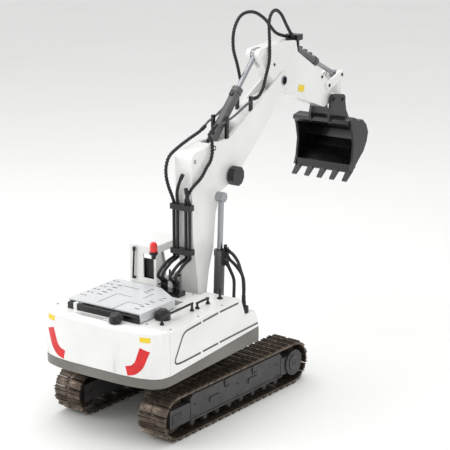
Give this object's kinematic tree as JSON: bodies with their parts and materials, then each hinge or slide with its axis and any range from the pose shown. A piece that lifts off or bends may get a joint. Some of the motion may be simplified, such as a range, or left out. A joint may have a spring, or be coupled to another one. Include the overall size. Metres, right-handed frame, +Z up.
{
  "type": "rc excavator",
  "caption": "Hydraulic radio-controlled tracked excavator with a slewing house, cab, two-part arm and a digging bucket",
  "frame": {"origin": "centre of the box's footprint, on the ground under the tracks, measured without the free hoses", "axes": "+Z up, +Y the way the arm and bucket point, +X the machine's right-hand side seen from the seat"},
  "size_m": [0.278, 0.784, 0.6628],
  "materials": {
    "white_paint": "glossy white two-pack enamel on steel and aluminium plate",
    "grey_paint": "satin warm-grey paint on the upper frame and its skirt",
    "light_grey_paint": "satin light-grey paint on the engine hood",
    "dark_grey_paint": "satin dark-grey paint on the undercarriage",
    "browned_steel": "browned cast steel shoes, rollers and idlers, worn bright on the edges",
    "black_paint": "gloss black enamel",
    "bright_steel": "ground and polished steel rods and pins",
    "barrel_paint": "semi-gloss charcoal paint on the cylinder barrels",
    "hose_rubber": "smooth black hydraulic hose cover",
    "black_plastic": "moulded black plastic",
    "red_lens": "clear red moulded lens"
  },
  "bodies": {
    "undercarriage": {"car_body": "dark_grey_paint", "left_track_frame": "dark_grey_paint", "right_track_frame": "dark_grey_paint", "left_roller_set": "browned_steel", "right_roller_set": "browned_steel", "left_track_chain": "browned_steel", "right_track_chain": "browned_steel", "left_travel_motor": "dark_grey_paint", "right_travel_motor": "dark_grey_paint", "slew_ring": "bright_steel"},
    "left_drive": {"left_sprocket": "dark_grey_paint"},
    "right_drive": {"right_sprocket": "dark_grey_paint"},
    "left_tension": {"left_idler": "browned_steel"},
    "right_tension": {"right_idler": "browned_steel"},
    "house": {"upper_frame": "grey_paint", "counterweight": "white_paint", "right_cover": "white_paint", "left_cover": "white_paint", "centre_cover": "white_paint", "exhaust_cap": "black_paint", "air_filter_cap": "black_paint", "long_handrail": "black_paint", "short_handrail": "black_paint", "hose_manifold": "black_paint", "deck_union": "black_plastic", "battery": "black_paint", "pump_unit": "bright_steel", "cab_shell": "white_paint", "cab_seat": "black_plastic", "beacon_base": "black_paint", "beacon_lens": "red_lens", "cab_handrail": "black_paint", "lift_hose": "hose_rubber"},
    "hood_lid": {"hood": "light_grey_paint"},
    "door": {"cab_door": "white_paint"},
    "left_lift_body": {"left_lift_barrel": "barrel_paint"},
    "right_lift_body": {"right_lift_barrel": "barrel_paint"},
    "left_lift_slider": {"left_lift_rod": "bright_steel"},
    "right_lift_slider": {"right_lift_rod": "bright_steel"},
    "boom_arm": {"boom": "white_paint", "stick_pivot_pin": "bright_steel", "boom_lamp": "black_paint", "lower_clamp": "black_paint", "upper_clamp": "black_paint", "outer_boom_hose": "hose_rubber", "left_boom_hose": "hose_rubber", "right_boom_hose": "hose_rubber", "outer_right_boom_hose": "hose_rubber"},
    "stick_cylinder_body": {"stick_cylinder_barrel": "barrel_paint"},
    "stick_cylinder_slider": {"stick_cylinder_rod": "bright_steel"},
    "stick_arm": {"stick": "white_paint", "stick_hose_block": "black_paint", "outer_stick_hose": "hose_rubber", "inner_stick_hose": "hose_rubber", "bucket_pin": "bright_steel"},
    "rocker_arm": {"rocker": "white_paint"},
    "link_arm": {"bucket_link": "white_paint"},
    "bucket_cylinder_body": {"bucket_cylinder_barrel": "barrel_paint"},
    "bucket_cylinder_slider": {"bucket_cylinder_rod": "bright_steel"},
    "bucket_tool": {"bucket": "black_paint"}
  },
  "joints": [
    {"name": "slew", "type": "hinge", "parent": "undercarriage", "child": "house", "pos_m": [0, -0.152, 0.1], "axis": [0, 0, 1], "continuous": true},
    {"name": "left_drive_spin", "type": "hinge", "parent": "undercarriage", "child": "left_drive", "pos_m": [-0.08433, 0.0183, 0.041], "axis": [0.9976, -0.0698, 0], "continuous": true},
    {"name": "left_tension_spin", "type": "hinge", "parent": "undercarriage", "child": "left_tension", "pos_m": [-0.10721, -0.3089, 0.041], "axis": [0.9976, -0.0698, 0], "continuous": true},
    {"name": "right_drive_spin", "type": "hinge", "parent": "undercarriage", "child": "right_drive", "pos_m": [0.10721, 0.0049, 0.041], "axis": [0.9976, -0.0698, 0], "continuous": true},
    {"name": "right_tension_spin", "type": "hinge", "parent": "undercarriage", "child": "right_tension", "pos_m": [0.08433, -0.3223, 0.041], "axis": [0.9976, -0.0698, 0], "continuous": true},
    {"name": "boom_lift", "type": "hinge", "parent": "house", "child": "boom_arm", "pos_m": [0, -0.121, 0.17], "axis": [1, 0, 0], "range_deg": [-60, 3], "deforming": ["outer_boom_hose", "left_boom_hose", "right_boom_hose", "outer_right_boom_hose"]},
    {"name": "left_lift_swing", "type": "hinge", "parent": "house", "child": "left_lift_body", "pos_m": [-0.029, -0.088, 0.134], "axis": [1, 0, 0], "range_deg": [-56, 3.5]},
    {"name": "left_lift_stroke", "type": "slide", "parent": "left_lift_body", "child": "left_lift_slider", "axis": [0, 0.0477, 0.9989], "range_m": [-0.048, 0.003]},
    {"name": "right_lift_swing", "type": "hinge", "parent": "house", "child": "right_lift_body", "pos_m": [0.029, -0.088, 0.134], "axis": [1, 0, 0], "range_deg": [-56, 3.5], "deforming": ["lift_hose"]},
    {"name": "right_lift_stroke", "type": "slide", "parent": "right_lift_body", "child": "right_lift_slider", "axis": [0, 0.0477, 0.9989], "range_m": [-0.048, 0.003]},
    {"name": "stick_swing", "type": "hinge", "parent": "boom_arm", "child": "stick_arm", "pos_m": [0, 0.146, 0.527], "axis": [1, 0, 0], "range_deg": [-20, 30], "deforming": ["outer_stick_hose", "inner_stick_hose"]},
    {"name": "stick_cylinder_swing", "type": "hinge", "parent": "boom_arm", "child": "stick_cylinder_body", "pos_m": [0, -0.075, 0.4395], "axis": [1, 0, 0], "range_deg": [-3.5, 2.5]},
    {"name": "stick_cylinder_stroke", "type": "slide", "parent": "stick_cylinder_body", "child": "stick_cylinder_slider", "axis": [0, 0.7191, 0.6949], "range_m": [-0.045, 0.03]},
    {"name": "bucket_curl", "type": "hinge", "parent": "stick_arm", "child": "bucket_tool", "pos_m": [0, 0.323, 0.464], "axis": [1, 0, 0], "range_deg": [-30, 30]},
    {"name": "rocker_swing", "type": "hinge", "parent": "stick_arm", "child": "rocker_arm", "pos_m": [0, 0.3125, 0.4925], "axis": [1, 0, 0], "range_deg": [-41, 21]},
    {"name": "link_swing", "type": "hinge", "parent": "rocker_arm", "child": "link_arm", "pos_m": [0, 0.361, 0.507], "axis": [1, 0, 0], "range_deg": [-9, 18]},
    {"name": "bucket_cylinder_swing", "type": "hinge", "parent": "stick_arm", "child": "bucket_cylinder_body", "pos_m": [0, 0.186, 0.587], "axis": [1, 0, 0], "range_deg": [-9, 5]},
    {"name": "bucket_cylinder_stroke", "type": "slide", "parent": "bucket_cylinder_body", "child": "bucket_cylinder_slider", "axis": [0, 0.9095, -0.4158], "range_m": [-0.01, 0.019]},
    {"name": "hood_open", "type": "hinge", "parent": "house", "child": "hood_lid", "pos_m": [0, -0.214, 0.203], "axis": [-1, 0, 0], "range_deg": [0, 40]},
    {"name": "door_open", "type": "hinge", "parent": "house", "child": "door", "pos_m": [-0.1066, -0.165, 0.2], "axis": [0, 0, 1], "range_deg": [0, 100]}
  ],
  "couplings": [
    {"joint": "left_tension_spin", "follows": "left_drive_spin", "ratio": 1},
    {"joint": "left_lift_swing", "follows": "boom_lift", "ratio": 0.9052},
    {"joint": "left_lift_stroke", "follows": "boom_lift", "m_per_rad": 0.0449},
    {"joint": "right_tension_spin", "follows": "right_drive_spin", "ratio": 1},
    {"joint": "right_lift_swing", "follows": "boom_lift", "ratio": 0.9052},
    {"joint": "right_lift_stroke", "follows": "boom_lift", "m_per_rad": 0.0449},
    {"joint": "stick_cylinder_swing", "follows": "stick_swing", "ratio": -0.1004},
    {"joint": "stick_cylinder_stroke", "follows": "stick_swing", "m_per_rad": -0.0844},
    {"joint": "rocker_swing", "follows": "bucket_curl", "ratio": 0.667},
    {"joint": "link_swing", "follows": "bucket_curl", "ratio": -0.282},
    {"joint": "bucket_cylinder_swing", "follows": "bucket_curl", "ratio": 0.1424},
    {"joint": "bucket_cylinder_stroke", "follows": "bucket_curl", "m_per_rad": -0.0176}
  ]
}
